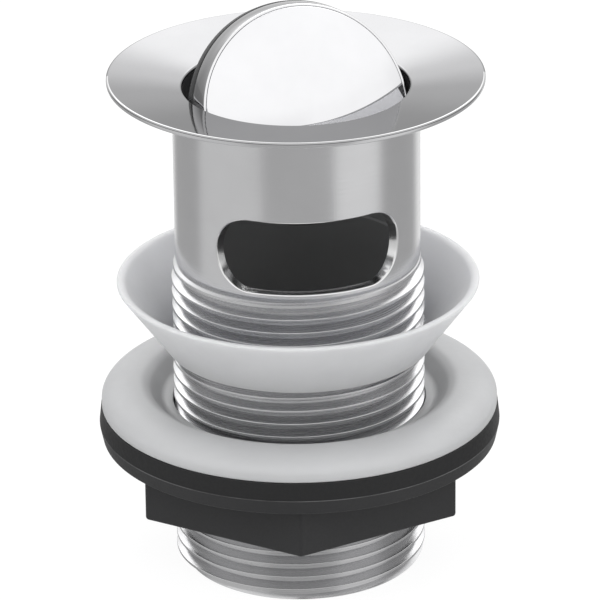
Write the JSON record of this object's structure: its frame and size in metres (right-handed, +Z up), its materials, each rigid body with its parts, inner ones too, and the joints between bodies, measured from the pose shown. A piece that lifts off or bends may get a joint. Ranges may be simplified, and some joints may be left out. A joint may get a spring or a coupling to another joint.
{
  "type": "slotted basin waste",
  "caption": "Chromed slotted basin waste with a tipping dome plug, soft cone washer, domed seat washer, rubber gasket and black flanged back nut on a threaded tail.",
  "frame": {"origin": "middle of the tail's bottom edge, on the barrel's axis", "axes": "+Z up the barrel to the flange, -Y to the viewer of the picture, +X to the viewer's right"},
  "size_m": [0.0668, 0.0668, 0.0968],
  "materials": {
    "body_chrome": "bright chrome plate over turned brass, satin lathe lines on the barrel",
    "plug_chrome": "mirror chrome",
    "seal_rubber": "smooth black rubber",
    "core_plastic": "moulded black plastic",
    "back_plastic": "pale grey moulded plastic",
    "steel": "bright stainless steel",
    "washer_plastic": "soft grey-white moulded polythene",
    "gasket_rubber": "dull black rubber",
    "nut_plastic": "fine-grained black moulded plastic"
  },
  "bodies": {
    "waste": {"waste_body": "body_chrome"},
    "plug": {"plug_dome": "plug_chrome", "plug_rim": "plug_chrome", "plug_seal": "seal_rubber", "plug_core": "core_plastic", "plug_back": "back_plastic", "back_screws": "steel", "pivot_pin_left": "steel", "pivot_pin_right": "steel", "pin_spring": "steel"},
    "cone_washer": {"cone_washer": "washer_plastic"},
    "washer_stack": {"seat_washer": "washer_plastic", "nut_gasket": "gasket_rubber"},
    "nut": {"back_nut": "nut_plastic"}
  },
  "joints": [
    {"name": "plug_flip", "type": "hinge", "parent": "waste", "child": "plug", "pos_m": [0, 0, 0.07855], "axis": [0.9455, 0.3256, 0], "range_deg": [-65, 25]},
    {"name": "cone_slide", "type": "slide", "parent": "waste", "child": "cone_washer", "axis": [0, 0, 1], "range_m": [0, 0.0335]},
    {"name": "nut_travel", "type": "slide", "parent": "waste", "child": "washer_stack", "axis": [0, 0, 1], "range_m": [-0.0116, 0.0082]},
    {"name": "nut_turn", "type": "hinge", "parent": "washer_stack", "child": "nut", "pos_m": [0, 0, 0.0184], "axis": [0, 0, 1], "range_deg": [-1800, 1260]}
  ],
  "couplings": [
    {"joint": "nut_travel", "follows": "nut_turn", "m_per_rad": 0.0003675}
  ]
}
